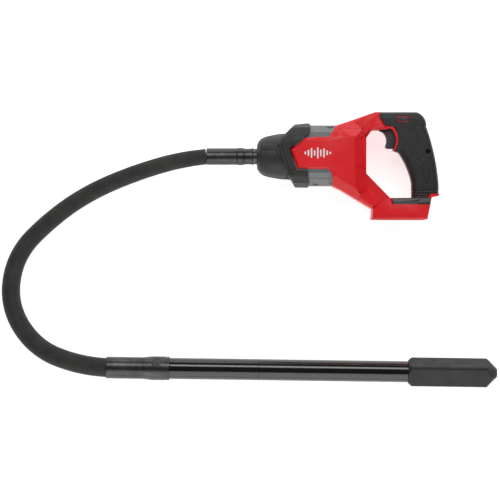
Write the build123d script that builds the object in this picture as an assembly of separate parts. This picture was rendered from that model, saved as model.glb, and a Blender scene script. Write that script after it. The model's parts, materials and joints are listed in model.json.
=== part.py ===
from build123d import *

# Cordless concrete vibrator: a D-handled drive unit, a flexible drive hose and a steel vibrating head.
#
# The tool lies on its right flank, as it is put down on site, with the hose and the head on the
# same surface. +Z is up, +X runs from the nose towards the handle, and +Y from the battery foot
# towards the top of the grip. The origin is the centre of the footprint of the rigid parts, on the
# surface that they lie on. Millimetres.

import math
import os

os.makedirs("parts", exist_ok=True)

# Driving dimensions ------------------------------------------------------------------------------
FLANK = 48.0  # half the width of the drive unit, and so the height of its centre plane
NOSE_X, AXIS_Y = -71.3, 151.8  # where the motor axis leaves the nose
HEAD_X, HEAD_Y = -317.9, -191.2  # where the hose meets the head
HEAD_TURN = -0.8  # degrees that the head points away from the motor axis

FIT = 0.05  # radial clearance of a running or press fit
GAP = 0.15  # clearance between fixed parts

SNOUT_R = 12.8  # cast snout that the hose screws to
SPINDLE_R, SHAFT_R = 6.0, 5.0
SHELL_BORE = 41.0  # motor bore
SHELL_START, BORE_START, SHELL_END = 50.0, 60.0, 150.0
FLANGE_R, FLANGE_SCREWS_R = 36.9, 32.8  # joint between the nose casting and the motor shell
SKIRT_END, SKIRT_R = 53.5, 38.0  # rear edge of the nose boot, which covers that joint
SEAT_R = 14.0  # outer radius of the spindle bearings
BEARING_R = 11.0  # outer radius of the motor bearings
STATOR_START, STATOR_END = 80.0, 120.0

GRIP_HALF = 20.5  # half the width of the grip over the rubber
GRIP_SKIN = 3.0  # thickness of the rubber
BEAM_HALF, BRACE_HALF, FOOT_HALF = 25.0, 33.0, 37.0  # half widths of the three arms of the D
CHANNEL_HALF, CHANNEL_TOP = 31.0, -85.0  # battery channel
COVER_DEPTH = 3.2  # thickness of the trim on each side of the foot

TRIGGER_HALF = 10.0
SLOT_HEIGHT = (11.4, 43.2)  # bottom and top of the slot that the trigger moves in
SWITCH_X = 238.0  # front of the trigger switch

HOSE_R, HOSE_BORE = 14.0, 8.7
LINER_R, LINER_BORE = 8.4, 6.6
CORE_R = 5.6  # flexible core that turns inside the liner
FERRULE_BORE = 9.0
FITTING_R = 7.6  # crimped end fittings of the flexible core

TUBE_R, TUBE_BORE = 17.3, 15.0  # steel tubes of the head
TIP_SIDE, TIP_CORNER = 36.6, 4.0  # square rubber tip
TIP_TURN = 27.4  # degrees that the tip's faces are turned about the head's axis
PLUG_R = 11.5  # steel core inside the rubber tip
WRENCH_TURN = 48.0  # degrees that the adapter's wrench flats are turned about the head's axis

turn = math.radians(TIP_TURN)
HEAD_Z = (TIP_SIDE / 2 - TIP_CORNER) * (math.cos(turn) + math.sin(turn)) + TIP_CORNER

TOOL = Pos(NOSE_X, AXIS_Y, FLANK)
HEAD = Location((HEAD_X, HEAD_Y, HEAD_Z), (0, 0, HEAD_TURN))

# Points that the hose goes by, from the ferrule on the tool to the ferrule on the head
ROUTE = [
    (-154.6, 151.6, 48.0), (-193.0, 148.0, 48.0), (-270.0, 126.0, 38.0), (-345.0, 95.0, 20.0),
    (-407.0, 53.0, 15.0), (-467.0, -7.0, 15.0), (-479.0, -90.0, 15.0), (-435.0, -160.0, 15.0),
    (-359.0, -189.0, 22.5), (-318.6, -191.2, HEAD_Z),
]

# Side-view outlines of the drive unit, from the point where the motor axis leaves the nose
PANEL = [
    (51.2, 10.7), (76.2, 29.7), (114.4, 29.9), (125.6, 48.6), (150.0, 56.6), (166.0, 46.0), (174.4, 28.8),
    (174.4, -28.0), (184.0, -40.0), (160.0, -68.0), (120.6, -48.0), (118.7, -30.5), (112.6, -23.3),
    (62.5, -22.7),
]
BEAM = [
    (126.0, 48.7), (189.4, 71.0), (196.6, 71.0), (196.6, 62.0), (209.5, 43.2), (184.3, 42.4),
    (174.4, 28.8), (150.0, 20.0),
]
BRACE = [(122.6, -48.0), (184.8, -85.4), (222.0, -80.0), (213.3, -68.0), (174.4, -28.0), (150.0, -20.0)]
FOOT = [(184.8, -85.4), (183.7, -102.5), (272.5, -102.5), (279.4, -67.2), (204.0, -67.8)]
TONGUE = [
    (274.5, -71.0), (274.5, -66.0), (279.0, -60.6), (292.6, -60.2), (292.6, -64.0), (281.0, -66.2),
    (277.0, -71.0),
]
COVER = [(215.2, -67.8), (218.4, -77.8), (276.6, -77.8), (278.6, -67.8)]
BUMPER = [
    (46.2, 37.3), (59.2, 50.7), (77.9, 53.0), (83.5, 53.0), (85.0, 49.7), (82.2, 34.0), (74.6, 28.0),
    (58.0, 0.0), (70.0, -22.0), (80.0, -22.0), (82.9, -47.3), (80.9, -50.4), (60.5, -50.0), (54.5, -37.0),
    (46.2, -34.0),
]
BUTTON = [(226.2, 63.0), (243.2, 63.0), (240.6, 56.0), (227.6, 56.0)]
BUTTON_RIM = 1.0  # width of the rim round the lock button

# Half sections across the motor axis, as (height across the flanks, height towards the grip)
SHELL_SECTION = [(18.0, 49.5), (38.0, 37.3), (44.3, 27.0), (44.3, -27.0), (38.0, -36.5), (18.0, -48.0)]
BUMPER_SECTION = [
    (15.0, 53.0), (36.0, 46.0), (45.0, 34.0), (47.9, 24.0), (47.9, -24.0), (45.0, -34.0), (34.0, -44.0),
    (15.0, -50.4),
]

SCREW_PLACES = [
    (274.4, 7.5), (277.5, -50.0), (258.0, 55.0), (189.0, 58.0), (168.0, 48.0), (168.0, -46.0),
    (190.0, -78.0), (273.5, -74.0),
]
SCREW_R, SCREW_HEAD_R, SCREW_HEAD_Z = 2.0, 3.6, -10.0


# Shared shapes -----------------------------------------------------------------------------------
def save(name, place, *shapes):
    """Writes one sub-part, of one or more solids, to its own file."""
    solids = [solid for shape in shapes for solid in (place * shape).solids()]
    shape = solids[0] if len(solids) == 1 else Compound(children=solids)
    export_step(shape, f"parts/{name}.step")


def outline(points):
    """A flat face with straight sides."""
    return make_face(Polyline(*points, close=True))


def slab(points, low, high):
    """A side-view outline or face, given thickness from low to high across the tool."""
    face = outline(points) if isinstance(points, list) else points
    return Pos(0, 0, low) * extrude(face, amount=high - low)


def block(x, y, z):
    """A box from three (low, high) pairs."""
    size = [high - low for low, high in (x, y, z)]
    centre = [(low + high) / 2 for low, high in (x, y, z)]
    return Pos(*centre) * Box(*size)


def turned(*profile):
    """A solid turned about the X axis from (x, radius) points."""
    points = [(profile[0][0], 0), *profile, (profile[-1][0], 0)]
    return revolve(outline(points), Axis.X, 360)


def rod(start, end, radius):
    """A round bar along the X axis."""
    return turned((start, radius), (end, radius))


def ring(start, end, outer, inner):
    """A tube about the X axis."""
    return rod(start, end, outer) - rod(start - 1, end + 1, inner)


def rod_z(x, y, radius, low, high):
    """A round bar across the tool."""
    return Pos(x, y, (low + high) / 2) * Cylinder(radius, high - low)


def prism(section, start, end, grow=0.0):
    """A bar along the X axis whose section is a symmetric polygon."""
    side = [(z + grow, y + math.copysign(grow, y)) for z, y in section]
    points = side + [(-z, y) for z, y in reversed(side)]
    face = make_face(Polyline(*[(start, y, z) for z, y in points], close=True))
    return extrude(face, amount=end - start, dir=(1, 0, 0))


def upper_edges(solid):
    """The edges round the flat top of a slab."""
    return solid.faces().filter_by(Plane.XY).group_by(Axis.Z)[-1].edges()


def bevelled(points, high, bevel):
    """A slab from the centre plane to high, with its flank edges bevelled."""
    solid = slab(points, 0, high)
    return chamfer(upper_edges(solid), bevel)


def shaved(solid, a, b, c):
    """What is left of a solid below the plane through three points."""
    a, b, c = Vector(a), Vector(b), Vector(c)
    normal = (b - a).cross(c - a)
    if normal.Z < 0:
        normal = -normal
    return split(solid, bisect_by=Plane(origin=a, z_dir=normal), keep=Keep.BOTTOM)


def mirrored(shape):
    """The other half of a part that is split on the centre plane."""
    return mirror(shape, about=Plane.XY)


def bearing(start, end, outer, bore):
    """A shielded ball bearing, with a groove in each side between its races."""
    middle = (outer + bore) / 2
    races = ring(start, end, outer, bore + FIT)
    groove = ring(start - 1, start + 0.8, middle + 1.6, middle - 1.6)
    return races - groove - Pos(end - start, 0, 0) * mirror(groove, about=Plane.YZ.offset(start))


# Grip --------------------------------------------------------------------------------------------
def grip_face(inset=0.0):
    """The grip seen from the side: a straight top, a bowed back and a curved finger side."""
    top, back, front, low = 71.4 - inset, 272.4 - inset, 248.7 + inset, -67.4 - inset
    start = 196.8 - 2 * inset
    return make_face([
        Line((start, top), (257.0, top)),
        ThreePointArc((257.0, top), (267.8 - inset, 63.8 - inset), (back, 47.8)),
        ThreePointArc((back, 47.8), (286.0 - inset, -1.0), (292.4 - inset, -46.2)),
        Line((292.4 - inset, -46.2), (292.4 - inset, low)),
        Line((292.4 - inset, low), (front, low)),
        Line((front, low), (front, -43.3)),
        ThreePointArc((front, -43.3), (240.6 + inset, -17.0), (227.8, 6.0 + inset)),
        Line((227.8, 6.0 + inset), (216.6 + inset, 10.0 + inset)),
        Line((216.6 + inset, 10.0 + inset), (216.6 + inset, 47.0 + inset)),
        Line((216.6 + inset, 47.0 + inset), (206.5, 47.0 + inset)),
        Line((206.5, 47.0 + inset), (start, 61.0)),
        Line((start, 61.0), (start, top)),
    ])


def rounded_grip(inset, half, radius):
    """One half of the grip, rounded along its front, top and back."""
    solid = slab(grip_face(inset), 0, half)
    low_end = -66.0
    mouth = 215.0
    above = [e for e in upper_edges(solid) if e.center().Y > low_end]
    return fillet([e for e in above if e.length > 40 or e.center().X > mouth], radius)


def mouth_arc(shift):
    """The curved rim round the back of the trigger."""
    return ThreePointArc((217.8 - shift, 47.8 - shift), (225.9 - shift, 30.6), (220.9 - shift, 9.6))


def mouth_face():
    """Everything in front of the rim."""
    arc = mouth_arc(0)
    return make_face([arc, Polyline(arc @ 1, (200.0, 3.5), (200.0, 43.0), arc @ 0)])


def rim_face():
    """The rim itself, about 3 mm wide, with the strip that joins it to the beam above the trigger."""
    outer, inner, strip_start = mouth_arc(0), mouth_arc(3.0), 203.0
    return make_face([
        outer, Line(outer @ 1, inner @ 1), inner,
        Polyline(inner @ 0, (strip_start, 44.6), (strip_start, 48.2), outer @ 0),
    ])


def button_shape(grow, low, high):
    """The lock button, wider at the top than at the bottom."""
    middle = (BUTTON[0][0] + BUTTON[1][0]) / 2
    points = [(x + math.copysign(grow, x - middle), y + (grow if y > 60 else -grow)) for x, y in BUTTON]
    return slab(points, low, high)


# Housing -----------------------------------------------------------------------------------------
def housing_body():
    """The red clamshell half above the centre plane, before it is hollowed."""
    panel = bevelled(PANEL, FLANK, 5.0)
    panel = shaved(panel, (115, 31, FLANK), (170, 31, FLANK), (150, 57, BEAM_HALF))
    panel = shaved(panel, (157, 0, FLANK), (157, 30, FLANK), (174.4, 0, 34))
    front = block((50, 116), (-60, 60), (-1, FLANK + 1))
    rear = shaved(panel - front, (119, -30, FLANK), (181.2, -68.4, FLANK), (122.6, -47, BRACE_HALF))
    panel = (panel & front) + rear
    beam = bevelled(BEAM, BEAM_HALF, 4.0)
    brace = bevelled(BRACE, BRACE_HALF, 5.0)
    foot = bevelled(FOOT, FOOT_HALF, 2.5)
    tongue = bevelled(TONGUE, GRIP_HALF + 1.5, 1.5)
    core = rounded_grip(GRIP_SKIN, GRIP_HALF - GRIP_SKIN, 9.0) - slab(mouth_face(), -1, FLANK)
    core -= block((279.0, 300.0), (-80.0, -62.5), (-1, FLANK))
    rim = slab(rim_face(), 0, GRIP_HALF - 0.5)
    collar = button_shape(BUTTON_RIM, 0, GRIP_HALF + 0.3)
    return panel + beam + brace + foot + tongue + core + rim + collar


def housing_room():
    """The space inside a half: motor bay, switch bay, slots and battery channel."""
    bay = prism(SHELL_SECTION, 45.0, 156.2, GAP) + rod(150, 160.2, 36.0)
    bumper_seat = block((40, 85.2), (28.6, 60), (-60, 60)) + block((40, 82.6), (-60, -22.8), (-60, 60))
    trigger_slot = block((190, SWITCH_X), SLOT_HEIGHT, (-1, TRIGGER_HALF + 0.4))
    switch_bay = block((SWITCH_X - 1, 262.5), (9.7, 50.3), (-1, 13.3))
    button_slot = button_shape(GAP, -1, GRIP_HALF + 5)
    channel = block((192, 300), (-110, CHANNEL_TOP), (-1, CHANNEL_HALF))
    rail = block((196, 268), (-99, -95), (CHANNEL_HALF - 4.5, CHANNEL_HALF + 1))
    board_bay = block((196, 267), (-82, -71), (-1, CHANNEL_HALF))
    lead_bay = block((252, 267), (-72, 10), (-1, 7))
    cover_seat = slab(COVER, FOOT_HALF - COVER_DEPTH - GAP, FOOT_HALF + 5)
    cover_seat += block((214.6, 279.4), (-78.0, -67.5), (FOOT_HALF - COVER_DEPTH - GAP, FOOT_HALF + 5))
    return bay + bumper_seat + trigger_slot + switch_bay + button_slot + (channel - rail) + board_bay \
        + lead_bay + cover_seat


def screw_threads():
    """Threaded holes in the left half."""
    return Compound(children=[rod_z(x, y, SCREW_R + FIT, -1, 12.0) for x, y in SCREW_PLACES])


def screw_clearance():
    """Clearance holes and counterbores in the right half."""
    holes = [rod_z(x, y, SCREW_R + GAP, SCREW_HEAD_Z - 1, 1) for x, y in SCREW_PLACES]
    holes += [rod_z(x, y, SCREW_HEAD_R + 0.3, -60, SCREW_HEAD_Z) for x, y in SCREW_PLACES]
    return Compound(children=holes)


def housing_screws():
    """Screws that hold the halves together, put in from the right flank."""
    screw = rod_z(0, 0, SCREW_R, SCREW_HEAD_Z, 11.5)
    screw += rod_z(0, 0, SCREW_HEAD_R, SCREW_HEAD_Z - 3, SCREW_HEAD_Z)
    screw -= rod_z(0, 0, 1.7, SCREW_HEAD_Z - 4, SCREW_HEAD_Z - 1.5)
    return [Pos(x, y, 0) * screw for x, y in SCREW_PLACES]


def make_housing():
    body = housing_body()
    shell = body - housing_room()
    left = shell - screw_threads()
    recess = rod_z(*SCREW_PLACES[0], 4.2, 14.0, 30.0)
    left -= recess
    right = mirrored(shell) - screw_clearance()
    skin = rounded_grip(0, GRIP_HALF, 11.0) - body - slab(mouth_face(), -1, FLANK)
    skin -= block((190, SWITCH_X), SLOT_HEIGHT, (-1, TRIGGER_HALF + 0.4))
    skin -= button_shape(BUTTON_RIM, -1, FLANK)
    skin = skin.solids().sort_by(SortBy.VOLUME)[-1]
    save("housing_left", TOOL, left)
    save("housing_right", TOOL, right)
    save("housing_screws", TOOL, *housing_screws())
    save("grip_left", TOOL, skin - recess - screw_threads())
    save("grip_right", TOOL, mirrored(skin) - screw_clearance())
    cover = slab(COVER, FOOT_HALF - COVER_DEPTH, FOOT_HALF + 0.4)
    save("foot_cover_left", TOOL, cover)
    save("foot_cover_right", TOOL, mirrored(cover))


def make_controls():
    hollow = ThreePointArc((203.3, 39.4), (208.8, 27.2), (206.9, 17.5))
    toe = ThreePointArc((206.9, 17.5), (207.4, 13.4), (211.9, 12.4))
    back = 226.0
    side = make_face([Line((198.2, 41.6), (203.3, 39.4)), hollow, toe,
                      Polyline((211.9, 12.4), (back, 12.4), (back, 41.6), (198.2, 41.6))])
    save("trigger", TOOL, slab(side, -TRIGGER_HALF, TRIGGER_HALF))
    axis = Pos(0, 27.0, 0)
    save("trigger_plunger", TOOL * axis, rod(back, SWITCH_X + 4, 3.0))
    switch = block((SWITCH_X, 262.0), (10.0, 50.0), (-13.0, 13.0))
    save("trigger_switch", TOOL, chamfer(switch.edges(), 1.0) - axis * rod(230, SWITCH_X + 14, 3.4))
    button = button_shape(0, -GRIP_HALF - 2.0, GRIP_HALF + 2.0)
    ends = button.faces().filter_by(Plane.XY).edges()
    save("lock_button", TOOL, chamfer(ends, 0.8))


def make_electrics():
    terminal = block((204, 232), (-94, CHANNEL_TOP), (-14, 14))
    save("terminal_block", TOOL, chamfer(terminal.edges().filter_by(Axis.Y), 1.5))
    blades = [block((208, 230), (-99.5, -94), (z - 0.5, z + 0.5)) for z in (-10.5, -3.5, 3.5, 10.5)]
    save("contact_blades", TOOL, *blades)
    board = block((199, 264), (-80.6, -79.0), (-28, 28))
    board += block((225, 250), (-79.1, -76.5), (-12, 12))
    for x in (206, 216):
        for z in (-18, 18):
            board += Pos(x, -75.9, z) * Rot(90, 0, 0) * Cylinder(4.0, 6.4)
    save("control_board", TOOL, board)
    leads = [Pos(259.5, -33.6, z) * Rot(90, 0, 0) * Cylinder(2.0, 86.8) for z in (-3.5, 3.5)]
    save("power_leads", TOOL, *leads)


# Drive -------------------------------------------------------------------------------------------
def flange_places():
    """Turns about the motor axis that put something at each of the four flange screws."""
    return [Rot(45 + 90 * i, 0, 0) * Pos(0, FLANGE_SCREWS_R, 0) for i in range(4)]


def shell_body(grow=0.0):
    """The motor shell before it is bored: a faceted bar with a tapered, round front."""
    front = FLANGE_R + grow
    back = 53.5 + grow
    taper = turned((SHELL_START - grow, front), (SKIRT_END + 0.2, front), (62.6, back), (SHELL_END, back))
    return prism(SHELL_SECTION, SHELL_START - grow, SHELL_END, grow) & taper


def make_nose():
    boot = turned((-1.5, 15.0), (-1.2, 19.0), (0.6, 22.5), (2.5, 25.0), (6.0, 29.0), (17.5, 33.0),
                  (31.0, 35.8), (46.0, 37.4), (SKIRT_END, SKIRT_R))
    room = turned((-2, SNOUT_R + GAP), (2.8, SNOUT_R + GAP), (2.8, 18.2), (20.0, 27.8), (46.0, 31.4),
                  (46.0, FLANGE_R + GAP), (SKIRT_END + 1, FLANGE_R + GAP))
    save("nose_boot", TOOL, boot - room)
    casting = turned((-6, SNOUT_R), (3, SNOUT_R), (3, 18), (20, 27.5), (46.2, 31.0), (46.2, FLANGE_R),
                     (SHELL_START, FLANGE_R))
    bores = rod(-7, 4, SPINDLE_R + 0.6) + rod(3, 10, 10 + FIT) + rod(9.5, 46, SEAT_R + FIT)
    bores += rod(45, 51, 24)
    holes = [place * (rod(45, 60, SCREW_R + GAP) + rod(45, 48.4, 3.6)) for place in flange_places()]
    save("nose_casting", TOOL, casting - bores - Compound(children=holes))
    screws = [place * (rod(48.3, 57.0, SCREW_R) + rod(46.4, 48.4, 3.4)) for place in flange_places()]
    save("nose_screws", TOOL, *screws)
    ring_body = prism(BUMPER_SECTION, 46.2, 86.0) & slab(BUMPER, -FLANK, FLANK)
    ring_body -= slab(PANEL, -FLANK - 1, FLANK + 1)
    ring_body -= rod(40, SKIRT_END + 0.2, SKIRT_R + GAP)
    ring_body -= shell_body(GAP)
    save("front_bumper", TOOL, ring_body.solids().sort_by(SortBy.VOLUME)[-1])
    save("spindle_seal", TOOL, ring(3.2, 9.2, 10.0, SPINDLE_R + FIT))
    save("spindle_bearing_front", TOOL, bearing(9.8, 18.8, SEAT_R, SPINDLE_R))
    save("bearing_spacer", TOOL, ring(18.9, 36.9, SEAT_R, 11.5))
    save("spindle_bearing_rear", TOOL, bearing(37, 46, SEAT_R, SPINDLE_R))


def make_motor():
    shell = shell_body() - rod(BORE_START, SHELL_END + 1, SHELL_BORE)
    shell -= rod(SHELL_START - 1, BORE_START + 1, 28.0)
    for place in flange_places():
        shell -= place * rod(SHELL_START - 1, 57.5, SCREW_R + FIT)
    save("motor_shell", TOOL, shell)
    plate = ring(BORE_START + 0.1, 66, SHELL_BORE - GAP, BEARING_R + FIT)
    plate += ring(65, 70, 15, BEARING_R + FIT)
    save("front_end_plate", TOOL, plate)
    save("motor_bearing_front", TOOL, bearing(61, 69, BEARING_R, SHAFT_R))
    cap = rod(150.1, 156, 43.5) + rod(140, 150.2, 15)
    cap -= rod(139, 149.2, BEARING_R + FIT) + rod(149, 157, 5.6)
    vents = [Rot(30 * i, 0, 0) * block((149, 157), (20, 32), (-2.5, 2.5)) for i in range(12)]
    for vent in vents:
        cap -= vent
    save("rear_end_cap", TOOL, cap)
    save("motor_bearing_rear", TOOL, bearing(141, 149, BEARING_R, SHAFT_R))
    save("damper_ring", TOOL, ring(156.3, 160, 35.5, 33.5))
    slot_length = (STATOR_START - 1, STATOR_END + 1)
    slots = [Rot(60 * i, 0, 0) * block(slot_length, (27.5, 36.5), (-5, 5)) for i in range(6)]
    stator = ring(STATOR_START, STATOR_END, SHELL_BORE - GAP, 26.0)
    for slot in slots:
        stator -= slot
    save("stator", TOOL, stator)
    coils = ring(71, STATOR_START - 0.2, 37.5, 27.7) + ring(STATOR_END + 0.2, 128, 37.5, 27.7)
    for i in range(6):
        coils += Rot(60 * i, 0, 0) * block((75, 125), (28.2, 36.2), (-4.7, 4.7))
    save("windings", TOOL, coils)
    core = ring(STATOR_START, STATOR_END, 25.4, SHAFT_R + FIT)
    save("rotor_core", TOOL, core)
    save("motor_shaft", TOOL, rod(48.1, 148.8, SHAFT_R))
    fan = ring(129.5, 139, 9, SHAFT_R + FIT) + ring(137.5, 139, 36, 8)
    for i in range(11):
        fan += Rot(360 / 11 * i, 0, 0) * block((130, 138), (8, 35), (-0.8, 0.8))
    save("cooling_fan", TOOL, fan)
    coupling = rod(46.6, 53.6, 10.5) - rod(46, 48, SPINDLE_R + FIT) - rod(47, 55, SHAFT_R + FIT)
    save("drive_coupling", TOOL, coupling)
    save("output_spindle", TOOL, rod(-18, 47.9, SPINDLE_R))
    save("core_fitting_tool", TOOL, rod(-31, -18.2, FITTING_R))


# Hose --------------------------------------------------------------------------------------------
def bend_radii(points):
    """For each corner of a route, the largest arc that its two runs allow."""
    corners = [Vector(p) for p in points]
    radii = []
    for before, corner, after in zip(corners, corners[1:], corners[2:]):
        angle = (corner - before).get_angle(after - corner)
        shorter = min((corner - before).length, (after - corner).length)
        radii.append(0.45 * shorter / math.tan(math.radians(angle) / 2))
    return radii


def tube(points, outer, inner):
    """A round bar or tube along a route of straight runs joined by arcs."""
    radii = bend_radii(points)
    path = FilletPolyline(*points, radius=radii)
    plane = Plane(origin=path @ 0, z_dir=path % 0)
    solid = sweep(plane * Circle(outer), path=path)
    area = math.pi * outer**2
    if inner:
        solid -= sweep(plane * Circle(inner), path=path)
        area -= math.pi * inner**2
    print("tube", [round(r) for r in radii], "volume over section times length",
          round(solid.volume / (area * path.length), 4), "length", round(path.length, 1))
    return solid


def make_hose():
    inside_tool = (TOOL * Pos(-33.3, 0, 0)).position
    inside_head = (HEAD * Pos(71.0, 0, 0)).position
    core_tool = (TOOL * Pos(-31.3, 0, 0)).position
    core_head = (HEAD * Pos(75.7, 0, 0)).position
    here = Location()
    save("hose", here, tube(ROUTE, HOSE_R, HOSE_BORE))
    save("hose_liner", here, tube([tuple(inside_tool), *ROUTE, tuple(inside_head)], LINER_R, LINER_BORE))
    save("flexible_core", here, tube([tuple(core_tool), *ROUTE, tuple(core_head)], CORE_R, 0))
    ferrule = turned((-82.2, 12.9), (-81.2, 13.6), (-33.7, 13.6))
    save("tool_ferrule", TOOL, ferrule - rod(-83, -33, FERRULE_BORE))
    coupling = turned((-33.6, 13.4), (-32.8, 14.2), (-7.0, 14.2), (-6.1, 13.4)) - rod(-34, -5, FERRULE_BORE)
    save("hose_coupling", TOOL, coupling)


# Head --------------------------------------------------------------------------------------------
def make_head():
    ferrule = turned((0, 17.0), (0.9, 17.7), (59.8, 17.7), (60.6, 17.0)) - rod(-1, 62, FERRULE_BORE)
    save("head_ferrule", HEAD, ferrule)
    adapter = turned((60.7, 17.8), (67.0, 18.5), (74.0, 19.4), (96.5, 19.4), (97.0, 18.6), (98.2, 18.6),
                     (98.6, 19.2), (102.2, 19.2), (102.8, 18.6))
    flats = block((76.0, 88.0), (17.5, 25), (-25, 25)) + block((76.0, 88.0), (-25, -17.5), (-25, 25))
    flats = Rot(WRENCH_TURN, 0, 0) * flats
    bore = rod(60, 73, FERRULE_BORE) + rod(72, 103, 13.4 + FIT)
    save("head_adapter", HEAD, adapter - flats - bore)
    save("core_fitting_head", HEAD, rod(76.0, 90.0, FITTING_R))
    save("head_bearing_rear", HEAD, bearing(93.5, 102.5, 13.4, SHAFT_R))
    seam = 247.9
    save("rear_tube", HEAD, ring(102.9, seam - 0.1, TUBE_R, TUBE_BORE))
    save("tube_joint", HEAD, ring(seam - 17, seam + 17, TUBE_BORE - FIT, 12 + FIT))
    save("head_bearing_middle", HEAD, bearing(seam - 4.5, seam + 4.5, 12.0, SHAFT_R))
    save("front_tube", HEAD, ring(seam + 0.1, 491.5, TUBE_R, TUBE_BORE))
    save("head_bearing_front", HEAD, bearing(456, 466, TUBE_BORE - FIT, SHAFT_R))
    save("head_shaft", HEAD, rod(90.2, 470, SHAFT_R))
    weight = rod(300, 440, 13.2) & block((299, 441), (-7.5, 20), (-20, 20))
    save("eccentric_weight", HEAD, weight - rod(299, 441, SHAFT_R + FIT))
    plug = turned((474, TUBE_BORE - FIT), (491.6, TUBE_BORE - FIT), (491.6, PLUG_R), (585, PLUG_R))
    save("end_plug", HEAD, plug)
    across = (-TIP_SIDE / 2, TIP_SIDE / 2)
    bar = Rot(TIP_TURN, 0, 0) * block((491.7, 636.7), across, across)
    bar = fillet(bar.edges().filter_by(Axis.X), TIP_CORNER)
    cone = turned((491.7, 18.4), (499.4, 26), (617.5, 26), (636.7, 6.8))
    save("rubber_tip", HEAD, (bar & cone) - rod(491, 585.2, PLUG_R + GAP))


make_housing()
make_controls()
make_electrics()
make_nose()
make_motor()
make_hose()
make_head()
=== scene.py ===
import json
import math

import bmesh
import bpy
from mathutils import Matrix, Vector


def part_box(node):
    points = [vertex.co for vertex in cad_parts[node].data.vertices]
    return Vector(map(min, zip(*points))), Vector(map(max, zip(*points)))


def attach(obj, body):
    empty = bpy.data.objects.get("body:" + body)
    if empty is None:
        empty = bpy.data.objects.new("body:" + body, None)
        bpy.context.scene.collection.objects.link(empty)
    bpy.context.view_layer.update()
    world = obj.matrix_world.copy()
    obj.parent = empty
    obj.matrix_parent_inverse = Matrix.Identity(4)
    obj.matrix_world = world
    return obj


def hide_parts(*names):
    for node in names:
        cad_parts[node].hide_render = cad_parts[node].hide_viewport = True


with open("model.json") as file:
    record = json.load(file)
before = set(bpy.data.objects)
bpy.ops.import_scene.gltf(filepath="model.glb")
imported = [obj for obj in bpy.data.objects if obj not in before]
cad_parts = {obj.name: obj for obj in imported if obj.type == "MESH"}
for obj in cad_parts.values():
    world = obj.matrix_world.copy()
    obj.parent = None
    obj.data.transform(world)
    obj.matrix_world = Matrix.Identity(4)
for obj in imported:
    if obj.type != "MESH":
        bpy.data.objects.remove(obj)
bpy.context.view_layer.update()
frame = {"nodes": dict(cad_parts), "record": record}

MM = 0.001
FLANK = 48.0  # half the width of the drive unit
GRAIN = 0.8  # size of the small even faces of the moulded rubber
MERGE = 0.000002  # distance below which a CAD mesh's loose corners are one
HOSE_BORE = 9.1  # inner radius of the ferrules and the coupling
BODY = {node: body for body, nodes in frame["record"]["behaviour"]["bodies"].items() for node in nodes}


# Places, worked out from the frame -----------------------------------------------------------------
def middle(node):
    low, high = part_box(node)
    return (low + high) / 2


def place(origin, turn=0.0):
    """The matrix that puts a piece made in millimetres at its place."""
    return Matrix.Translation(origin) @ Matrix.Rotation(turn, 4, "Z") @ Matrix.Scale(MM, 4)


spindle = middle("output_spindle")
BOOT_NOSE = 1.5 * MM  # how far the boot's front face stands out past the tool's own zero
TOOL = place(Vector((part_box("nose_boot")[0].x + BOOT_NOSE, spindle.y, spindle.z)))
spin = next(j for j in frame["record"]["behaviour"]["joints"] if j["name"] == "eccentric_spin")
HEAD = place(Vector(spin["pos_m"]), math.atan2(spin["axis"][1], spin["axis"][0]))


# Camera, light and floor ---------------------------------------------------------------------------
def make_camera():
    """Straight down on the tool as it lies, from high above, with a long lens."""
    height, view_width, sensor = 4.0, 0.81, 36.0
    view_middle = (-0.0838, 0.0004)
    data = bpy.data.cameras.new("camera")
    data.sensor_width = sensor
    data.lens = sensor * (height - spindle.z) / view_width
    data.clip_end = 50.0
    camera = bpy.data.objects.new("camera", data)
    camera.location = (*view_middle, height)
    bpy.context.scene.collection.objects.link(camera)
    bpy.context.scene.camera = camera


def make_light(name, size, power, location):
    """A soft box aimed at the middle of the floor under the object."""
    data = bpy.data.lights.new(name, "AREA")
    data.shape = "RECTANGLE"
    data.size, data.size_y = size
    data.energy = power
    light = bpy.data.objects.new(name, data)
    light.location = location
    light.rotation_euler = (-Vector(location)).to_track_quat("-Z", "Y").to_euler()
    bpy.context.scene.collection.objects.link(light)


def make_studio():
    """Three long soft boxes, side by side with the head tube, over a white floor."""
    length = 2.8
    make_light("key", (length, 0.55), 22, (0.0, 0.95, 1.5))
    make_light("fill", (length, 1.9), 31, (0.0, -1.6, 0.95))
    make_light("rim", (length, 0.45), 10, (0.0, 1.9, 0.33))
    world = bpy.data.worlds.new("studio")
    world.use_nodes = True
    background = world.node_tree.nodes["Background"]
    background.inputs["Color"].default_value = (1, 1, 1, 1)
    background.inputs["Strength"].default_value = 0.07
    bpy.context.scene.world = world
    bpy.context.scene.view_settings.view_transform = "Standard"
    half = 4.0
    bm = bmesh.new()
    bmesh.ops.create_grid(bm, x_segments=1, y_segments=1, size=half)
    floor = object_from(bm, "floor", Matrix.Identity(4))
    paper = Finish("pale_floor", (0.86, 0.86, 0.86), 0.9)
    paper.shader.inputs["Emission Color"].default_value = (1, 1, 1, 1)
    paper.shader.inputs["Emission Strength"].default_value = 0.68
    floor.data.materials.append(paper.material)


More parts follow.
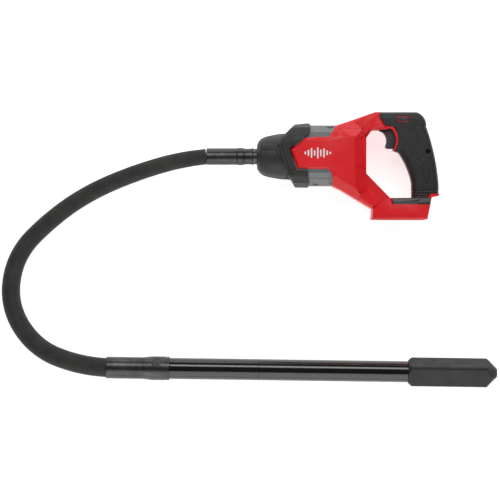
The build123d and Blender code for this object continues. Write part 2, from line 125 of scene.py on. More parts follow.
# Materials -------------------------------------------------------------------------------------------
class Finish:
    """A material whose nodes are added one after the other."""

    def __init__(self, name, colour, roughness, metallic=0.0, specular=0.5, edge=0.0):
        self.material = bpy.data.materials.new(name)
        self.material.use_nodes = True
        self.nodes = self.material.node_tree.nodes
        self.links = self.material.node_tree.links
        self.shader = self.nodes["Principled BSDF"]
        sockets = self.shader.inputs
        sockets["Base Color"].default_value = (*colour, 1)
        sockets["Roughness"].default_value = roughness
        sockets["Metallic"].default_value = metallic
        sockets["Specular IOR Level"].default_value = specular
        self.roughness = roughness
        self.coordinates = self.nodes.new("ShaderNodeTexCoord")
        self.normal = None
        if edge:
            rounding = self.nodes.new("ShaderNodeBevel")
            rounding.samples = 6
            rounding.inputs["Radius"].default_value = edge
            self.normal = rounding.outputs["Normal"]

    def coordinate(self, output="Object", scale=(1, 1, 1), turn=(0, 0, 0)):
        mapping = self.nodes.new("ShaderNodeMapping")
        mapping.inputs["Scale"].default_value = scale
        mapping.inputs["Rotation"].default_value = turn
        self.links.new(self.coordinates.outputs[output], mapping.inputs["Vector"])
        return mapping.outputs["Vector"]

    def noise(self, scale, detail=3.0, vector=None):
        node = self.nodes.new("ShaderNodeTexNoise")
        node.inputs["Scale"].default_value = scale
        node.inputs["Detail"].default_value = detail
        self.links.new(vector or self.coordinates.outputs["Object"], node.inputs["Vector"])
        return node.outputs["Fac"]

    def cells(self, scale):
        node = self.nodes.new("ShaderNodeTexVoronoi")
        node.inputs["Scale"].default_value = scale
        self.links.new(self.coordinates.outputs["Object"], node.inputs["Vector"])
        return node.outputs["Distance"]

    def waves(self, vector, direction="X", profile="SIN", distortion=0.0):
        node = self.nodes.new("ShaderNodeTexWave")
        node.bands_direction = direction
        node.wave_profile = profile
        node.inputs["Scale"].default_value = 0.5
        node.inputs["Distortion"].default_value = distortion
        node.inputs["Detail"].default_value = 1.0
        node.inputs["Detail Scale"].default_value = 1.4
        self.links.new(vector, node.inputs["Vector"])
        return node.outputs["Fac"]

    def spread(self, value, low, high, from_low=0.3, from_high=0.7):
        """Maps a texture's value to a range."""
        node = self.nodes.new("ShaderNodeMapRange")
        node.inputs["From Min"].default_value = from_low
        node.inputs["From Max"].default_value = from_high
        node.inputs["To Min"].default_value = low
        node.inputs["To Max"].default_value = high
        self.links.new(value, node.inputs["Value"])
        return node.outputs["Result"]

    def tint(self, value, other, from_low=0.35, from_high=0.65):
        """Blends the colour so far towards another where the value is high."""
        node = self.nodes.new("ShaderNodeMix")
        node.data_type = "RGBA"
        base = self.shader.inputs["Base Color"]
        if base.is_linked:
            self.links.new(base.links[0].from_socket, node.inputs["A"])
        else:
            node.inputs["A"].default_value = base.default_value
        node.inputs["B"].default_value = (*other, 1)
        self.links.new(self.spread(value, 0, 1, from_low, from_high), node.inputs["Factor"])
        self.links.new(node.outputs["Result"], base)

    def roughen(self, value, amount):
        """Varies the roughness by a texture."""
        result = self.spread(value, self.roughness - amount, self.roughness + amount)
        self.links.new(result, self.shader.inputs["Roughness"])

    def bump(self, value, depth, strength=1.0):
        node = self.nodes.new("ShaderNodeBump")
        node.inputs["Distance"].default_value = depth
        node.inputs["Strength"].default_value = strength
        self.links.new(value, node.inputs["Height"])
        if self.normal is not None:
            self.links.new(self.normal, node.inputs["Normal"])
        self.normal = node.outputs["Normal"]
        self.links.new(self.normal, self.shader.inputs["Normal"])


def moulded_plastic(name, colour, worn, roughness=0.42):
    """Glass-filled nylon with a fine spark-eroded grain."""
    finish = Finish(name, colour, roughness, specular=0.45, edge=0.0008)
    finish.tint(finish.noise(35, 4), worn, 0.45, 0.9)
    finish.roughen(finish.noise(90, 5), 0.06)
    finish.bump(finish.cells(2600), 0.00006, 0.5)
    finish.bump(finish.noise(900, 3), 0.00005, 0.4)
    return finish.material


def overmoulded_rubber(name, colour, light):
    """Soft rubber with a leathery grain."""
    finish = Finish(name, colour, 0.5, specular=0.35, edge=0.0008)
    finish.tint(finish.noise(28, 5), light, 0.45, 0.85)
    finish.roughen(finish.noise(60, 4), 0.07)
    finish.bump(finish.cells(1900), 0.0001, 0.55)
    return finish.material


def painted_casting(name, colour, light):
    """Die-cast housing under satin paint."""
    finish = Finish(name, colour, 0.42, metallic=0.25, specular=0.5, edge=0.0007)
    finish.tint(finish.noise(40, 4), light, 0.45, 0.85)
    finish.roughen(finish.noise(120, 4), 0.07)
    finish.bump(finish.noise(700, 4), 0.00008, 0.6)
    return finish.material


def blackened_steel(name):
    """Turned steel with an oxide finish: fine tool marks round the axis and faint wear."""
    finish = Finish(name, (0.055, 0.055, 0.058), 0.34, metallic=0.9)
    around = finish.coordinate(scale=(1, 0.02, 0.02))
    finish.tint(finish.noise(60, 5), (0.10, 0.10, 0.103), 0.4, 0.8)
    finish.roughen(finish.noise(1400, 3, around), 0.08)
    finish.bump(finish.noise(1600, 2, around), 0.00004, 0.5)
    return finish.material


def lacquered_tube(name):
    """Drawn steel tube under glossy black lacquer."""
    finish = Finish(name, (0.004, 0.004, 0.0045), 0.15, specular=0.75)
    finish.tint(finish.noise(25, 4), (0.006, 0.006, 0.0065), 0.45, 0.8)
    finish.roughen(finish.noise(40, 6, finish.coordinate(scale=(0.15, 1, 1))), 0.035)
    finish.bump(finish.noise(220, 3, finish.coordinate(scale=(0.05, 1, 1))), 0.00002, 0.25)
    return finish.material


def wrapped_hose(name):
    """Rubber hose cured in a spiral cloth wrap, whose weave and lap edges stay printed in its skin."""
    finish = Finish(name, (0.021, 0.021, 0.02), 0.66, specular=0.35)
    along = finish.coordinate("UV", scale=(1, 1, 1))
    finish.tint(finish.noise(45, 5), (0.036, 0.035, 0.032), 0.4, 0.8)
    laps = finish.coordinate("UV", scale=(24, 2.0, 1))
    finish.bump(finish.waves(laps, "X", "SAW", 2.4), 0.0007, 0.6)
    weave = finish.coordinate("UV", scale=(520, 70, 1), turn=(0, 0, math.radians(12)))
    for direction in "XY":
        finish.bump(finish.waves(weave, direction), 0.00012, 0.5)
    finish.bump(finish.noise(500, 4), 0.00015, 0.5)
    finish.roughen(finish.noise(30, 4, along), 0.06)
    return finish.material


def bare_metal(name, colour, roughness=0.3, grain=800):
    finish = Finish(name, colour, roughness, metallic=1.0)
    finish.roughen(finish.noise(grain, 4), 0.08)
    finish.bump(finish.noise(grain, 3), 0.00004, 0.4)
    return finish.material


RED = moulded_plastic("red_housing_plastic", (0.70, 0.004, 0.010), (0.76, 0.010, 0.016))
BLACK_PLASTIC = moulded_plastic("black_trim_plastic", (0.032, 0.032, 0.034), (0.05, 0.05, 0.052), 0.48)
# painted shade: a near-black finish for the cup that fills the grip's screw recess with shade
SHADOW = moulded_plastic("painted_recess_shade", (0.004, 0.004, 0.004), (0.006, 0.006, 0.006), 0.7)
TRIM = moulded_plastic("foot_trim_plastic", (0.055, 0.055, 0.056), (0.075, 0.075, 0.076), 0.4)
RUBBER = overmoulded_rubber("grip_rubber", (0.019, 0.019, 0.020), (0.026, 0.026, 0.027))
BOOT_RUBBER = overmoulded_rubber("boot_rubber", (0.024, 0.024, 0.024), (0.033, 0.032, 0.031))
GREY = painted_casting("grey_motor_paint", (0.14, 0.145, 0.15), (0.19, 0.195, 0.2))
OXIDE = blackened_steel("blackened_fittings")
TUBE = lacquered_tube("black_head_tube")
HOSE = wrapped_hose("wrapped_hose_rubber")
TIP = overmoulded_rubber("tip_rubber", (0.015, 0.015, 0.015), (0.020, 0.020, 0.020))
STEEL = bare_metal("ground_steel", (0.55, 0.55, 0.57))
CASTING = bare_metal("bare_casting", (0.45, 0.46, 0.47), 0.45, 400)
LAMINATIONS = bare_metal("lamination_steel", (0.3, 0.3, 0.32), 0.45, 1500)
COPPER = bare_metal("enamelled_copper", (0.7, 0.3, 0.14), 0.3, 1200)
BOARD = moulded_plastic("board_mask", (0.01, 0.12, 0.05), (0.02, 0.18, 0.08), 0.3)
LEAD = moulded_plastic("lead_sleeve", (0.4, 0.02, 0.02), (0.5, 0.04, 0.04), 0.4)
PRINT = moulded_plastic("white_print", (0.82, 0.82, 0.82), (0.74, 0.74, 0.74), 0.5)

SLOT_FINISH = {
    "red_plastic": RED, "black_rubber": RUBBER, "dark_plastic": BLACK_PLASTIC, "grey_casting": GREY,
    "bare_casting": CASTING, "blackened_steel": OXIDE, "black_tube": TUBE, "steel": STEEL,
    "laminations": LAMINATIONS, "copper": COPPER, "hose_rubber": HOSE, "tip_rubber": TIP,
    "seal_rubber": RUBBER, "board": BOARD, "lead": LEAD,
}
NODE_FINISH = {"nose_casting": OXIDE}
NODE_SLOT = {part["node"]: part["material_slot"] for part in frame["record"]["subparts"]}


def finish_cad_nodes():
    """Gives every part that stays as it is the finish of its slot."""
    for node, thing in frame["nodes"].items():
        thing.data.materials.clear()
        thing.data.materials.append(NODE_FINISH.get(node, SLOT_FINISH[NODE_SLOT[node]]))


# Pieces ----------------------------------------------------------------------------------------------
def object_from(bm, name, matrix=TOOL):
    """Turns a bmesh into an object, with its place in its mesh."""
    bmesh.ops.transform(bm, matrix=matrix, verts=bm.verts)
    mesh = bpy.data.meshes.new(name)
    bm.to_mesh(mesh)
    bm.free()
    piece = bpy.data.objects.new(name, mesh)
    bpy.context.scene.collection.objects.link(piece)
    return piece


def piece_from(bm, name, node, material, matrix=TOOL, smooth_angle=35.0):
    """A piece that stands for a CAD part, from a bmesh made in millimetres."""
    piece = object_from(bm, name, matrix)
    mesh = piece.data
    mesh.materials.append(material)
    mesh.polygons.foreach_set("use_smooth", [True] * len(mesh.polygons))
    mesh.set_sharp_from_angle(angle=math.radians(smooth_angle))
    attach(piece, BODY[node])
    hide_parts(node)
    return piece


def extra_piece(bm, name, material):
    """A small piece of the drive unit that stands for no CAD part."""
    piece = object_from(bm, name)
    piece.data.materials.append(material)
    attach(piece, "root")


def bevel(bm, edges, width, segments):
    bmesh.ops.bevel(bm, geom=list(edges), offset=width, offset_type="OFFSET", affect="EDGES",
                    segments=segments, profile=0.5, material=-1, clamp_overlap=True)


def lathe(profile, steps):
    """A closed solid of revolution about the X axis from (x, radius) points."""
    bm = bmesh.new()
    points = [bm.verts.new((x, r, 0)) for x, r in profile]
    edges = [bm.edges.new(pair) for pair in zip(points, points[1:] + points[:1])]
    bmesh.ops.spin(bm, geom=points + edges, cent=(0, 0, 0), axis=(1, 0, 0), angle=2 * math.pi,
                   steps=steps, use_merge=True, use_duplicate=False)
    bmesh.ops.remove_doubles(bm, verts=bm.verts, dist=1e-4)
    bmesh.ops.recalc_face_normals(bm, faces=bm.faces)
    return bm


def rounded(bm, width):
    """The same shape with its sharp edges broken."""
    limit = math.radians(25.0)
    sharp = [e for e in bm.edges if len(e.link_faces) == 2 and e.calc_face_angle(0) > limit]
    bevel(bm, sharp, width, 2)
    return bm


def add_prism(bm, points, low, high):
    """Adds a side-view outline given thickness across the tool."""
    face = bm.faces.new([bm.verts.new((x, y, low)) for x, y in points])
    result = bmesh.ops.extrude_face_region(bm, geom=[face])
    verts = [item for item in result["geom"] if isinstance(item, bmesh.types.BMVert)]
    bmesh.ops.translate(bm, vec=(0, 0, high - low), verts=verts)
    bmesh.ops.recalc_face_normals(bm, faces=bm.faces)


def prism(points, low, high):
    bm = bmesh.new()
    add_prism(bm, points, low, high)
    return bm


def copy_of(node, matrix=TOOL):
    """A merged copy of a CAD part's mesh, in millimetres at its own place."""
    bm = bmesh.new()
    bm.from_mesh(frame["nodes"][node].data)
    bmesh.ops.remove_doubles(bm, verts=bm.verts, dist=MERGE)
    bmesh.ops.transform(bm, matrix=matrix.inverted(), verts=bm.verts)
    bm.normal_update()
    return bm


# Hose ------------------------------------------------------------------------------------------------
HOSE_ROUTE = [
    (-154.6, 151.6, 48.0), (-193.0, 148.0, 48.0), (-270.0, 126.0, 38.0), (-345.0, 95.0, 20.0),
    (-407.0, 53.0, 15.0), (-467.0, -7.0, 15.0), (-479.0, -90.0, 15.0), (-435.0, -160.0, 15.0),
    (-359.0, -189.0, 22.5), (-318.6, -191.2, 23.3),
]
HOSE_TOOL_END, HOSE_HEAD_END = 0.0127, 0.0156  # radius where it is drawn tight, and where it is full


def make_hose():
    """The hose along its route, a little thicker towards the head."""
    data = bpy.data.curves.new("hose_outer", "CURVE")
    data.dimensions = "3D"
    data.bevel_depth = 1.0
    data.bevel_resolution = 10
    data.resolution_u = 24
    data.use_fill_caps = True
    spline = data.splines.new("NURBS")
    last = len(HOSE_ROUTE) - 1
    spline.points.add(last)
    for i, (point, place_mm) in enumerate(zip(spline.points, HOSE_ROUTE)):
        point.co = (*(c * MM for c in place_mm), 1)
        share = min(1.0, i / (last - 2))
        point.radius = HOSE_TOOL_END + (HOSE_HEAD_END - HOSE_TOOL_END) * share
    spline.order_u = 3
    spline.use_endpoint_u = True
    hose = bpy.data.objects.new("hose_outer", data)
    bpy.context.scene.collection.objects.link(hose)
    data.materials.append(HOSE)
    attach(hose, "root")
    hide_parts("hose")


# Shaping helpers -------------------------------------------------------------------------------------
def inside(point, outline):
    """Whether a side-view point lies inside an outline."""
    x, y = point
    odd = False
    for (ax, ay), (bx, by) in zip(outline, outline[1:] + outline[:1]):
        if (ay > y) != (by > y) and x < ax + (y - ay) * (bx - ax) / (by - ay):
            odd = not odd
    return odd


def extent(points, margin=0.0):
    """The left, right, low and high ends of some side-view points."""
    xs, ys = [x for x, y in points], [y for x, y in points]
    return min(xs) - margin, max(xs) + margin, min(ys) - margin, max(ys) + margin


def facing(bm, side, outline):
    """Faces on one flank whose extent meets an outline's."""
    lean = 0.05
    left, right, low, high = extent(outline)
    found = []
    for face in bm.faces:
        if face.normal.z * side > lean:
            one, two, three, four = extent([v.co.xy for v in face.verts])
            if two > left and one < right and four > low and three < high:
                found.append(face)
    return found


def relief(bm, outline, height, slope=0.4, sides=(1, -1)):
    """Raises an outlined patch of the flanks, or sinks it when the height is negative."""
    for side in sides:
        for (ax, ay), (bx, by) in zip(outline, outline[1:] + outline[:1]):
            near = {item for face in facing(bm, side, outline)
                    for item in (face, *face.edges, *face.verts)}
            bmesh.ops.bisect_plane(bm, geom=list(near), dist=1e-4, plane_co=(ax, ay, 0),
                                   plane_no=(by - ay, ax - bx, 0))
            bm.normal_update()
        patch = [f for f in facing(bm, side, outline) if inside(f.calc_center_median().xy, outline)]
        if patch:
            bmesh.ops.inset_region(bm, faces=patch, thickness=slope, depth=height,
                                   use_even_offset=True, use_boundary=True)
        bm.normal_update()


def groove(bm, points, width, depth, sides=(1, -1)):
    """Sinks a narrow line along some side-view points, one stretch after the other."""
    for (ax, ay), (bx, by) in zip(points, points[1:]):
        along = Vector((bx - ax, by - ay)).normalized() * (width * 0.5)
        across = Vector((-along.y, along.x))
        a, b = Vector((ax, ay)), Vector((bx, by))
        band = [tuple(a + across), tuple(b + across), tuple(b - across), tuple(a - across)]
        relief(bm, band[::-1], -depth, width * 0.25, sides)


def taken_from(*pieces):
    """The shape that the first of some working objects has now. The objects are removed."""
    result = bmesh.new()
    result.from_object(pieces[0], bpy.context.evaluated_depsgraph_get())
    for piece in pieces:
        mesh = piece.data
        bpy.data.objects.remove(piece)
        bpy.data.meshes.remove(mesh)
    return result


def combined(bm, other, operation):
    """One closed shape joined with, cut by or limited to another."""
    pieces = [object_from(source, "working", Matrix.Identity(4)) for source in (bm, other)]
    modifier = pieces[0].modifiers.new("shape", "BOOLEAN")
    modifier.operation = operation
    modifier.object = pieces[1]
    modifier.solver = "EXACT"
    result = taken_from(*pieces)
    bmesh.ops.remove_doubles(result, verts=result.verts, dist=1e-3)
    bmesh.ops.dissolve_limit(result, angle_limit=math.radians(0.5), verts=result.verts,
                             edges=result.edges, delimit={"NORMAL"})
    result.normal_update()
    return result


def even_shading(piece):
    """Lets large flat faces keep their own shading beside small ones."""
    modifier = piece.modifiers.new("shading", "WEIGHTED_NORMAL")
    modifier.keep_sharp = True
    modifier.weight = 60


def remeshed(bm):
    """The same shape in small even faces, with its edges a little rounded."""
    piece = object_from(bm, "working", Matrix.Identity(4))
    modifier = piece.modifiers.new("even", "REMESH")
    modifier.mode = "VOXEL"
    modifier.voxel_size = GRAIN
    result = taken_from(piece)
    bmesh.ops.smooth_vert(result, verts=result.verts, factor=0.5, use_axis_x=True, use_axis_y=True,
                          use_axis_z=True)
    result.normal_update()
    return result


def distance_to_line(point, points):
    """How far a side-view point is from a run of straight stretches."""
    nearest = 1e9
    for (ax, ay), (bx, by) in zip(points, points[1:]):
        dx, dy = bx - ax, by - ay
        share = ((point[0] - ax) * dx + (point[1] - ay) * dy) / (dx * dx + dy * dy)
        share = max(0.0, min(1.0, share))
        nearest = min(nearest, math.hypot(point[0] - ax - share * dx, point[1] - ay - share * dy))
    return nearest


def carve(bm, side, points, half_width, depth, lean=0.15):
    """Presses a soft groove along side-view points into one flank, or a rib when the depth is negative."""
    left, right, low, high = extent(points, half_width)
    for vert in bm.verts:
        x, y, z = vert.co
        if left < x < right and low < y < high and vert.normal.z * side > lean:
            away = distance_to_line((x, y), points) / half_width
            if away < 1.0:
                vert.co -= vert.normal * depth * (1 - away * away) ** 2


def swell(bm, side, outline, edge_width, height, lean=0.3):
    """Lifts an outlined patch of one flank, with a soft edge."""
    ring = outline + outline[:1]
    left, right, low, high = extent(outline)
    for vert in bm.verts:
        x, y, z = vert.co
        near = left < x < right and low < y < high and vert.normal.z * side > lean
        if near and inside((x, y), outline):
            share = min(1.0, distance_to_line((x, y), ring) / edge_width)
            vert.co += vert.normal * height * share * share * (3 - 2 * share)


def soften(piece, width, angle, segments):
    """Rounds a piece's moulded edges."""
    modifier = piece.modifiers.new("edges", "BEVEL")
    modifier.width = width * MM
    modifier.segments = segments
    modifier.limit_method = "ANGLE"
    modifier.angle_limit = math.radians(angle)
    modifier.use_clamp_overlap = False


# Nose boot and front bumper ----------------------------------------------------------------------------
BOOT_OUTER = [
    (-1.5, 15.4), (-0.9, 19.6), (0.4, 22.6), (2.2, 25.4), (4.6, 28.0), (7.6, 30.0), (12.0, 31.8),
    (18.5, 33.5), (26.0, 35.0), (35.0, 36.5), (46.0, 37.4), (53.4, 38.0),
]


def make_boot():
    """The rubber boot on the nose, with a shallow panel above and below its middle rib."""
    inner = [
        (53.4, 37.1), (46.1, 37.1), (46.1, 31.6), (20.0, 28.1), (3.0, 18.4), (3.0, 13.2), (-1.5, 13.2),
    ]
    bm = remeshed(lathe(BOOT_OUTER + inner, 128))
    upper = [(8.0, 17.0), (27.6, 17.0), (34.0, 21.0), (44.6, 27.4), (44.6, 60.0), (8.0, 60.0)]
    lower = [(8.0, 11.3), (8.0, -60.0), (56.0, -60.0), (48.0, -36.0), (30.6, 8.0), (28.6, 11.3)]
    for side in (1, -1):
        for panel in (upper, lower):
            swell(bm, side, panel, 1.5, -1.1, 0.06)
    piece_from(bm, "nose_boot_moulding", "nose_boot", BOOT_RUBBER, smooth_angle=60)


BUMPER_OUTLINE = [
    (32.7, 17.5), (45.2, 36.6), (59.2, 50.7), (77.9, 53.0), (83.5, 53.0), (85.0, 49.7), (83.0, 35.5),
    (50.9, 11.0), (50.9, 10.5), (62.2, -23.0), (79.8, -23.4), (82.9, -47.3), (80.9, -50.4), (60.5, -50.0),
    (54.0, -37.4), (50.5, -35.4), (35.2, 9.4),
]
BUMPER_HALF = [
    (15.0, 53.0), (36.0, 46.0), (45.0, 34.0), (47.9, 24.0), (47.9, -24.0), (45.0, -34.0), (34.0, -44.0),
    (15.0, -50.4),
]
SHELL_HALF = [(18.0, 49.5), (38.0, 37.3), (44.3, 27.0), (44.3, -27.0), (38.0, -36.5), (18.0, -48.0)]


def section_ring(bm, x, half, wide=1.0, tall=1.0):
    """A closed ring of edges round the motor axis, from the points of one half of a section."""
    points = [(z * wide, y * tall) for z, y in half]
    points += [(-z, y) for z, y in reversed(points)]
    verts = [bm.verts.new((x, y, z)) for z, y in points]
    return [bm.edges.new(pair) for pair in zip(verts, verts[1:] + verts[:1])]


def lofted(rings_of):
    """A closed bar through rings of edges, given as (x, half section, width factor, height factor)."""
    bm = bmesh.new()
    rings = [section_ring(bm, *values) for values in rings_of]
    for one, two in zip(rings, rings[1:]):
        bmesh.ops.bridge_loops(bm, edges=one + two)
    for ends in (rings[0], rings[-1]):
        bmesh.ops.contextual_create(bm, geom=ends)
    bmesh.ops.recalc_face_normals(bm, faces=bm.faces)
    return bm


def make_bumper():
    """The rubber bumper over the shell's front, cut from a faceted bar, with a double line in front."""
    bar = lofted([
        (26.0, BUMPER_HALF, 0.82, 0.76), (46.0, BUMPER_HALF, 0.92, 0.91), (59.0, BUMPER_HALF, 1.0, 1.0),
        (90.0, BUMPER_HALF, 1.0, 1.0),
    ])
    body = combined(bar, prism(BUMPER_OUTLINE, -60, 60), "INTERSECT")
    room = [(x, r + 0.2) for x, r in BOOT_OUTER]
    room += [(53.7, 38.2), (62.8, 53.9), (95.0, 53.9), (95.0, 0.1), (-1.5, 0.1)]
    shell = lofted([(-10.0, SHELL_HALF, 1.005, 1.005), (95.0, SHELL_HALF, 1.005, 1.005)])
    core = combined(shell, lathe(room, 96), "INTERSECT")
    bm = remeshed(combined(body, core, "DIFFERENCE"))
    front = [(47.0, 40.6), (36.6, 17.0), (39.0, 9.2), (54.4, -37.0)]
    second = [(50.0, 37.4), (39.6, 16.7), (42.2, 9.2), (56.6, -34.0)]
    for side in (1, -1):
        carve(bm, side, front, 1.3, 1.1, 0.1)
        carve(bm, side, second, 0.9, -0.5, 0.1)
        carve(bm, side, [(60.0, 46.4), (84.0, 46.4)], 1.0, 0.4, 0.0)
    piece_from(bm, "front_bumper_moulding", "front_bumper", BOOT_RUBBER, smooth_angle=60)


# Motor shell -------------------------------------------------------------------------------------------
def make_motor_shell():
    """The grey casing, with the pressed corners and lines of its two windows."""
    bm = copy_of("motor_shell")
    relief(bm, [(111.2, 46.9), (122.4, 47.3), (116.4, 39.4)], -1.6, 0.3)
    relief(bm, [(117.2, -30.6), (114.0, -35.6), (116.4, -46.0), (119.6, -46.0), (119.6, -30.6)], -1.2, 0.3)
    relief(bm, [(87.3, -47.3), (89.7, -43.6), (96.5, -43.6), (97.8, -47.3)], -1.5, 0.3)
    groove(bm, [(86.0, 37.4), (113.0, 37.4)], 0.8, 0.5)
    groove(bm, [(83.0, -36.2), (113.0, -36.2)], 0.8, 0.5)
    even_shading(piece_from(bm, "motor_casing", "motor_shell", GREY, smooth_angle=22))


# Housing -----------------------------------------------------------------------------------------------
def make_housings():
    """The red halves, with a facet, a pocket and a line at the beam, and a slot in the foot."""
    for node, side in (("housing_left", 1), ("housing_right", -1)):
        bm = copy_of(node)
        relief(bm, [(129.5, 41.5), (130.0, 46.5), (133.8, 41.0), (132.8, 35.0)], -1.2, 0.5, (side,))
        relief(bm, [(155.2, 26.0), (155.2, -22.6), (171.2, -22.6), (171.2, 31.0)], -1.8, 0.7, (side,))
        groove(bm, [(132.0, 43.6), (177.6, 43.6)], 0.9, 0.5, (side,))
        relief(bm, [(202.6, -96.0), (202.6, -97.6), (238.7, -97.6), (238.7, -96.0)], -1.0, 0.3, (side,))
        even_shading(piece_from(bm, node + "_shell", node, RED, smooth_angle=22))


def make_foot_covers():
    """The dark trims, each with two raised fields and a slanting line between them."""
    for node, side in (("foot_cover_left", 1), ("foot_cover_right", -1)):
        bm = copy_of(node)
        relief(bm, [(216.8, -70.4), (219.2, -77.0), (254.4, -77.0), (260.6, -70.4)], 0.9, 0.9, (side,))
        relief(bm, [(257.0, -77.0), (263.2, -70.4), (277.6, -70.4), (276.4, -77.0)], 0.9, 0.9, (side,))
        even_shading(piece_from(bm, node + "_trim", node, TRIM))


# Grip --------------------------------------------------------------------------------------------------
def make_grips():
    """The rubber halves: two flowing lines, a raised tongue, a small square, rings and finger ribs."""
    palm_line = [(254.5, 46.8), (256.2, 35.2), (257.8, 23.0), (263.7, 16.4), (268.4, 12.3)]
    finger_line = [(239.4, 21.1), (244.9, 7.0), (250.2, -0.5), (258.3, -7.5), (262.6, -10.5)]
    tongue = [
        (261.6, -8.6), (266.0, -26.0), (270.2, -41.4), (272.6, -46.0), (277.2, -40.4), (276.2, -21.6),
        (272.0, -4.0), (266.0, -3.0),
    ]
    square = [(215.0, 59.0), (219.6, 59.0), (219.6, 63.4), (215.0, 63.4)]
    rings = [-56.2, -60.4, -64.6]
    first_rib, rib_pitch, rib_count = -28.0, 2.2, 12
    for node, side in (("grip_left", 1), ("grip_right", -1)):
        bm = remeshed(copy_of(node))
        carve(bm, side, [(253.5, 47.1), (272.4, 47.5)], 1.1, 0.6, -0.2)
        carve(bm, side, palm_line, 1.5, 0.7)
        carve(bm, side, finger_line, 1.5, 0.7)
        swell(bm, side, tongue, 2.2, 0.9)
        carve(bm, side, tongue + tongue[:1], 1.2, 0.35)
        carve(bm, side, square + square[:1], 1.0, 0.35)
        for y in rings:
            carve(bm, side, [(246.0, y), (295.0, y)], 1.3, 0.8, -0.5)
        for i in range(rib_count):
            y = first_rib - rib_pitch * i
            carve(bm, side, [(246.0, y), (264.0, y)], 0.9, 0.28)
        piece_from(bm, node + "_overmould", node, RUBBER, smooth_angle=60)


def make_trigger_gap_shade():
    """A black strip over the top of the trigger: painted shade in the gap between the red housing and the
    trigger.
    """
    outline = [(199.5, 42.9), (217.0, 42.9), (216.4, 45.0), (199.5, 45.0)]
    # painted shade: this black strip stands for the shade that falls over the trigger
    extra_piece(rounded(prism(outline, -10.2, 10.2), 0.3), "trigger_gap_shade_strip", BLACK_PLASTIC)


def make_grip_recess_shade():
    """A near-black cup at the bottom of the screw recess in the left flank: painted shade standing in for
    the shade inside the recess.
    """
    recess = (274.4, 7.5, 0)
    bm = lathe([(14.1, 0.01), (14.1, 3.9), (19.2, 4.1), (19.2, 3.6), (14.8, 3.3), (14.8, 0.01)], 40)
    bmesh.ops.rotate(bm, matrix=Matrix.Rotation(math.radians(-90), 3, "Y"), verts=bm.verts)
    bmesh.ops.translate(bm, vec=recess, verts=bm.verts)
    bmesh.ops.recalc_face_normals(bm, faces=bm.faces)
    extra_piece(bm, "grip_recess_painted_shade", SHADOW)


def make_trigger():
    """The trigger paddle, hollowed for the finger, with its front edges rounded."""
    outline = [
        (196.4, 42.2), (197.4, 40.8), (202.4, 38.8), (206.2, 34.2), (208.2, 28.6), (208.2, 22.0),
        (206.8, 17.8), (206.4, 14.8), (208.2, 12.8), (212.0, 12.3), (226.0, 12.3), (226.0, 42.8),
        (210.0, 42.8),
    ]
    half, front_end, top = 9.9, 213, 41
    bm = prism(outline, -half, half)
    front = []
    for edge in bm.edges:
        one, two = (vert.co for vert in edge.verts)
        on_flank = abs(one.z - two.z) < 0.01
        if on_flank and min(one.x, two.x) < front_end and max(one.y, two.y) < top:
            front.append(edge)
    bevel(bm, front, 3.2, 5)
    piece_from(bm, "trigger_paddle", "trigger", BLACK_PLASTIC, smooth_angle=50)


def make_lock_button():
    even_shading(piece_from(copy_of("lock_button"), "lock_button_cap", "lock_button", BLACK_PLASTIC))


# Hose fittings and head ---------------------------------------------------------------------------------
def turned_piece(profile, steps, name, node, matrix):
    """A turned fitting with its edges broken."""
    piece_from(rounded(lathe(profile, steps), 0.25), name, node, OXIDE, matrix, 30)


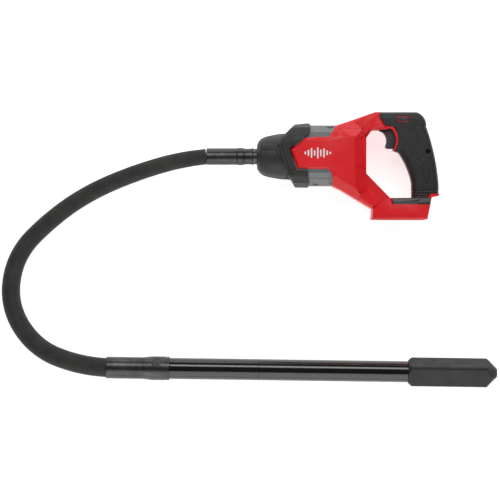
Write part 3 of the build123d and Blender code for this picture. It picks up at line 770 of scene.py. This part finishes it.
def make_fittings():
    """The ferrules, the coupling and the adapter, the two tubes and the rubber tip."""
    ferrule = [
        (-83.2, HOSE_BORE), (-83.2, 12.8), (-82.4, 13.4), (-81.2, 13.6), (-34.4, 13.6), (-33.7, 13.1),
        (-33.7, HOSE_BORE),
    ]
    turned_piece(ferrule, 96, "tool_ferrule_sleeve", "tool_ferrule", TOOL)
    coupling = [
        (-33.6, HOSE_BORE), (-33.6, 13.4), (-32.8, 14.2), (-24.0, 14.2), (-23.2, 13.3), (-21.8, 13.3),
        (-21.0, 14.2), (-8.6, 14.2), (-7.4, 13.2), (-6.1, 13.2), (-6.1, HOSE_BORE),
    ]
    bm = rounded(lathe(coupling, 96), 0.25)
    across_flats = 12.7
    for side in (1, -1):
        inner, outer = across_flats * side, 20.0 * side
        flat = [(-21.0, inner), (-9.5, inner), (-9.5, outer), (-21.0, outer)]
        bm = combined(bm, prism(flat, -20, 20), "DIFFERENCE")
    piece_from(bm, "hose_coupling_nut", "hose_coupling", OXIDE, smooth_angle=30)
    sleeve = [
        (-0.6, HOSE_BORE), (-0.6, 16.8), (0.4, 17.6), (1.4, 17.7), (59.9, 17.7), (60.6, 17.3),
        (60.6, HOSE_BORE),
    ]
    turned_piece(sleeve, 128, "head_ferrule_sleeve", "head_ferrule", HEAD)
    adapter = copy_of("head_adapter", HEAD)
    even_shading(piece_from(adapter, "head_adapter_nut", "head_adapter", OXIDE, HEAD, 30))
    bore, wall, corner = 15.0, 17.3, 0.3
    for node, start, end in (("rear_tube", 102.9, 247.95), ("front_tube", 248.0, 491.5)):
        tube = [
            (start, bore), (start, wall - corner), (start + corner, wall), (end - corner, wall),
            (end, wall - corner), (end, bore),
        ]
        piece_from(lathe(tube, 128), node + "_skin", node, TUBE, HEAD, 30)
    tip = copy_of("rubber_tip", HEAD)
    bmesh.ops.dissolve_limit(tip, angle_limit=math.radians(0.6), verts=tip.verts, edges=tip.edges)
    tip.normal_update()
    soften(piece_from(tip, "rubber_tip_boot", "rubber_tip", TIP, HEAD, 30), 0.6, 30, 3)


# Print ---------------------------------------------------------------------------------------------------
def rounded_bar(x, y, half, tall, steps=6):
    """An upright bar with round ends, seen from the side."""
    points = []
    for sign in (1, -1):
        for i in range(steps + 1):
            angle = math.pi * i / steps + (0 if sign > 0 else math.pi)
            end = y + sign * max(tall - half, 0)
            points.append((x + half * math.cos(angle), end + half * math.sin(angle)))
    return points


def make_marks():
    """Plain white print on each flank: a row of bars like a vibration trace."""
    heights = [5.0, 10.0, 16.0, 9.0, 18.0, 11.0, 15.0, 8.0, 4.0]
    first, pitch, middle_line, half_width, thickness = 76.0, 5.0, 4.0, 1.3, 0.12
    for name, side in (("left", 1), ("right", -1)):
        bm = bmesh.new()
        for i, height in enumerate(heights):
            bar = rounded_bar(first + pitch * i, middle_line, half_width, height / 2)
            add_prism(bm, bar, FLANK * side, (FLANK + thickness) * side)
        extra_piece(bm, "flank_print_" + name, PRINT)


make_camera()
make_hose()
finish_cad_nodes()
make_boot()
make_bumper()
make_motor_shell()
make_housings()
make_foot_covers()
make_grips()
make_trigger_gap_shade()
make_grip_recess_shade()
make_trigger()
make_lock_button()
make_fittings()
make_marks()
make_studio()
